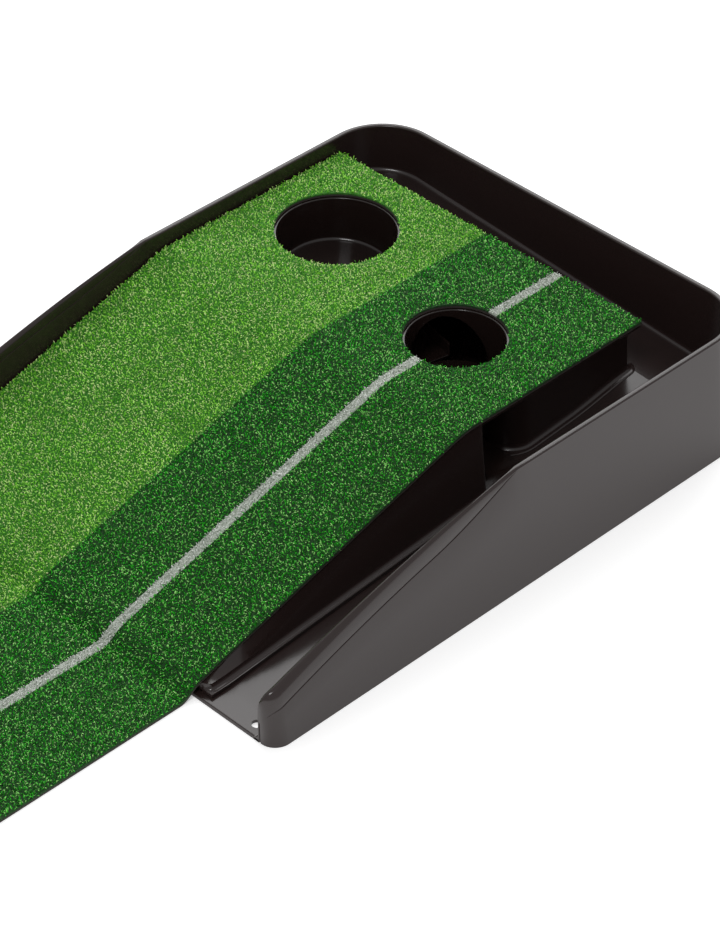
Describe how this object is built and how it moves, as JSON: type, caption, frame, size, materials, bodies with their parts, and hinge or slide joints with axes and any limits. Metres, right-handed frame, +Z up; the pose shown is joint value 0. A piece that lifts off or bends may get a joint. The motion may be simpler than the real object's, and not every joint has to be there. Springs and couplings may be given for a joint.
{
  "type": "practice putting mat",
  "caption": "Long indoor putting mat with a fast and a slow lane, running up a ramp to a large and a small cup in a black tray that catches and returns the ball.",
  "frame": {"origin": "on the ground, in the middle of the object's overall width and length", "axes": "+X to the player's right when looking at the cups, +Y from the player towards the cups, +Z up"},
  "size_m": [0.4638, 2.8014, 0.1126],
  "materials": {
    "tray_plastic": "black moulded plastic, satin gloss with a fine moulding grain",
    "cup_plastic": "black moulded plastic, smooth",
    "hook_strip": "black hook tape",
    "mat_backing": "dark woven and rubbered backing",
    "fast_turf": "light green short curled pile",
    "slow_turf": "dark green short curled pile",
    "aim_line": "white short pile"
  },
  "bodies": {
    "tray": {"tray": "tray_plastic"},
    "deck": {"ramp": "tray_plastic", "cup_deck": "tray_plastic", "large_cup": "cup_plastic", "small_cup": "cup_plastic", "ball_tunnel": "cup_plastic", "return_chute": "cup_plastic", "hook_strip_rear": "hook_strip", "hook_strip_crest": "hook_strip", "hook_strip_nose": "hook_strip"},
    "mat": {"mat_backing": "mat_backing", "fast_turf": "fast_turf", "slow_turf_inner": "slow_turf", "slow_turf_outer": "slow_turf", "aim_line_front": "aim_line", "aim_line_rear": "aim_line"}
  },
  "joints": [
    {"name": "deck_lift", "type": "slide", "parent": "tray", "child": "deck", "axis": [0, 0, 1], "range_m": [0, 0.15]},
    {"name": "mat_lift", "type": "slide", "parent": "deck", "child": "mat", "axis": [0, 0, 1], "range_m": [0, 0.15]}
  ]
}
